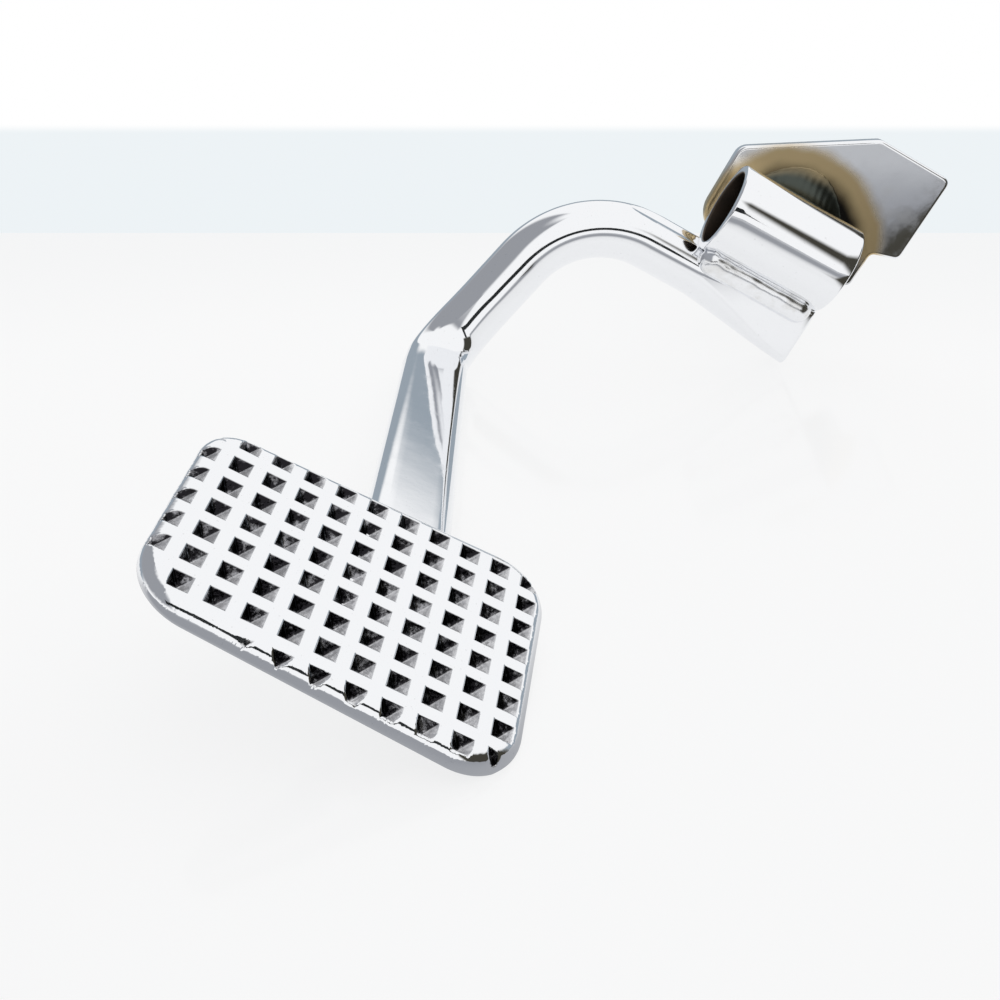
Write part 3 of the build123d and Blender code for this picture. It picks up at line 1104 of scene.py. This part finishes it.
class PEDAL_OT_stage(Operator):
    """Lay the white table, set the surroundings and place the camera"""
    bl_idname = "pedal.stage"
    bl_label = "Stage"

    def execute(self, context):
        settings = context.scene.pedal_stage
        axes = directions(settings)
        self.make_table(settings, *axes)
        self.make_card(settings, *axes)
        context.scene.world = self.make_world(settings, *axes)
        context.scene.camera = self.make_camera(settings, *axes)
        context.scene.view_settings.view_transform = "Standard"
        return {"FINISHED"}

    def make_table(self, settings, up, away, right):
        camera = Vector(settings.camera_place)
        foot = camera - up * (up.dot(camera) + settings.table_drop)
        far, near = foot + away * settings.table_reach, foot - away * TABLE_HALF
        side = right * TABLE_HALF
        material, nodes, shader, output = new_material("glossy_white_table")
        place = nodes.object_place()
        patches = nodes.step(nodes.noise(place, 6.0, 2.0), 0.3, 0.7)
        whites = nodes.mix(patches, tuple(settings.table_colour), tuple(settings.table_patch))
        nodes.put(whites, shader.inputs["Base Color"])
        shader.inputs["Roughness"].default_value = 0.10
        shader.inputs["Specular IOR Level"].default_value = 0.9

        # For the chrome's rays the table glows with painted shade: a grey shadow near and behind
        # the camera's foot and a dark olive patch on the right; for the camera it glows white.
        ahead = nodes.math("SUBTRACT", nodes.dot(place, away), away.dot(foot))
        across = nodes.math("SUBTRACT", nodes.dot(place, right), right.dot(foot))
        white_part = nodes.step(ahead, *WHITE_BLEND)
        painted_grey_shade = nodes.mix(nodes.step(ahead, *GREY_BLEND), tuple(settings.far_colour),
                         tuple(settings.grey_colour))
        slant = nodes.math("MULTIPLY_ADD", nodes.math("SUBTRACT", DARK_SLANT_END, ahead),
                           DARK_SLANT, DARK_FROM)
        outside = nodes.math("SUBTRACT", across, nodes.math("MAXIMUM", slant, DARK_FROM))
        dark = nodes.math("MULTIPLY", nodes.step(outside, 0.0, DARK_SOFT),
                          nodes.window(ahead, *DARK_SPAN))
        mirrored = nodes.mix(dark, nodes.mix(white_part, painted_grey_shade, WHITE),
                             tuple(settings.olive_colour))

        path = nodes.add("ShaderNodeLightPath").outputs
        by_camera, by_gloss = path["Is Camera Ray"], path["Is Glossy Ray"]
        glow = nodes.add("ShaderNodeEmission")
        nodes.put(nodes.mix(by_camera, mirrored, WHITE), glow.inputs["Color"])
        painted_shade_part = nodes.math("MAXIMUM", nodes.flip(white_part), dark)
        painted_shade_part = nodes.math("MULTIPLY", painted_shade_part, nodes.flip(by_camera))
        glowing = nodes.math("MULTIPLY", nodes.math("MAXIMUM", by_camera, by_gloss),
                             nodes.blend(painted_shade_part, TABLE_GLOW, 1.0))
        top = nodes.mix_shaders(glowing, shader.outputs["BSDF"], glow.outputs[0])
        clear = nodes.add("ShaderNodeBsdfTransparent").outputs[0]
        from_below = nodes.add("ShaderNodeNewGeometry").outputs["Backfacing"]
        nodes.put(nodes.mix_shaders(from_below, top, clear), output.inputs["Surface"])
        stage_sheet("table", [near - side, near + side, far + side, far - side], material)

    def make_card(self, settings, up, away, right):
        """A dark card at the camera, which only the chrome sees."""
        middle = Vector(settings.camera_place) - away * CARD_BEHIND + up * CARD_ABOVE
        wide, tall = right * settings.card_width / 2, up * settings.card_height / 2
        material, nodes, shader, _ = new_material("dark_cloth")
        weave = nodes.noise(nodes.object_place(), 60.0, 3.0)
        cloth = nodes.mix(weave, tuple(settings.card_colour), tuple(settings.card_weave))
        nodes.put(cloth, shader.inputs["Base Color"])
        shader.inputs["Roughness"].default_value = 0.9
        corners = [middle - wide - tall, middle + wide - tall, middle + wide + tall,
                   middle - wide + tall]
        card = stage_sheet("card", corners, material)
        card.visible_camera = False
        card.visible_diffuse = False
        card.visible_shadow = False

    def make_world(self, settings, up, away, right):
        """White all round, apart from the toned parts that give the chrome its shades."""
        world = bpy.data.worlds.new("studio")
        world.use_nodes = True
        nodes = Nodes(world.node_tree)
        nodes.tree.nodes.clear()
        output = nodes.add("ShaderNodeOutputWorld")
        background = nodes.add("ShaderNodeBackground")
        nodes.put(background.outputs[0], output.inputs["Surface"])
        direction = nodes.add("ShaderNodeTexCoord").outputs["Generated"]
        rise, onward = nodes.dot(direction, up), nodes.dot(direction, away)
        degrees = 180 / math.pi
        level = nodes.math("MULTIPLY", nodes.math("ARCSINE", rise), degrees)
        turn = nodes.math("ARCTAN2", nodes.dot(direction, right), onward)
        turn = nodes.math("MULTIPLY", turn, degrees)
        tones = WHITE
        for setting, levels, turns in SURROUNDINGS:
            part = nodes.math("MULTIPLY", nodes.window(level, *levels),
                              nodes.window(turn, *turns))
            tones = nodes.mix(part, tones, tuple(getattr(settings, setting)))
        above = nodes.step(nodes.math("DIVIDE", rise, onward), *BACKDROP_TOP)
        seen = nodes.mix(above, tuple(settings.backdrop_colour), WHITE)
        by_camera = nodes.add("ShaderNodeLightPath").outputs["Is Camera Ray"]
        nodes.put(nodes.mix(by_camera, tones, seen), background.inputs["Color"])
        return world

    def make_camera(self, settings, up, away, right):
        forward = away * math.cos(settings.camera_pitch) - up * math.sin(settings.camera_pitch)
        top = right.cross(forward)
        data = bpy.data.cameras.new("camera")
        data.lens = settings.camera_lens
        data.sensor_width = 36
        data.clip_start = 0.01
        data.clip_end = 20
        camera = bpy.data.objects.new("camera", data)
        turn = Matrix((right, top, -forward)).transposed().to_4x4()
        camera.matrix_world = Matrix.Translation(settings.camera_place) @ turn
        bpy.context.scene.collection.objects.link(camera)
        return camera


# Panel and registration

class PEDAL_PT_panel(Panel):
    """Lists the pedal's pieces and its stage"""
    bl_label = "Brake Pedal"
    bl_idname = "PEDAL_PT_panel"
    bl_space_type = "VIEW_3D"
    bl_region_type = "UI"
    bl_category = "Brake Pedal"

    def draw(self, context):
        for operator in OPERATORS:
            self.layout.operator(operator.bl_idname)


OPERATORS = (PEDAL_OT_stage, PEDAL_OT_pad, PEDAL_OT_arm, PEDAL_OT_tube, PEDAL_OT_plate,
             PEDAL_OT_welds)
SETTINGS = {"pedal_pad": PadSettings, "pedal_bar": BarSettings, "pedal_fixture": FixtureSettings,
            "pedal_finish": FinishSettings, "pedal_stage": StageSettings}
CLASSES = (*SETTINGS.values(), *OPERATORS, PEDAL_PT_panel)


def register():
    for cls in CLASSES:
        bpy.utils.register_class(cls)
    for name, cls in SETTINGS.items():
        setattr(bpy.types.Scene, name, PointerProperty(type=cls))


def unregister():
    for name in SETTINGS:
        delattr(bpy.types.Scene, name)
    for cls in reversed(CLASSES):
        bpy.utils.unregister_class(cls)


def main():
    register()
    bpy.ops.pedal.stage()
    bpy.ops.pedal.pad()
    bpy.ops.pedal.arm()
    bpy.ops.pedal.tube()
    bpy.ops.pedal.plate()
    bpy.ops.pedal.welds()


if __name__ == "__main__":
    main()
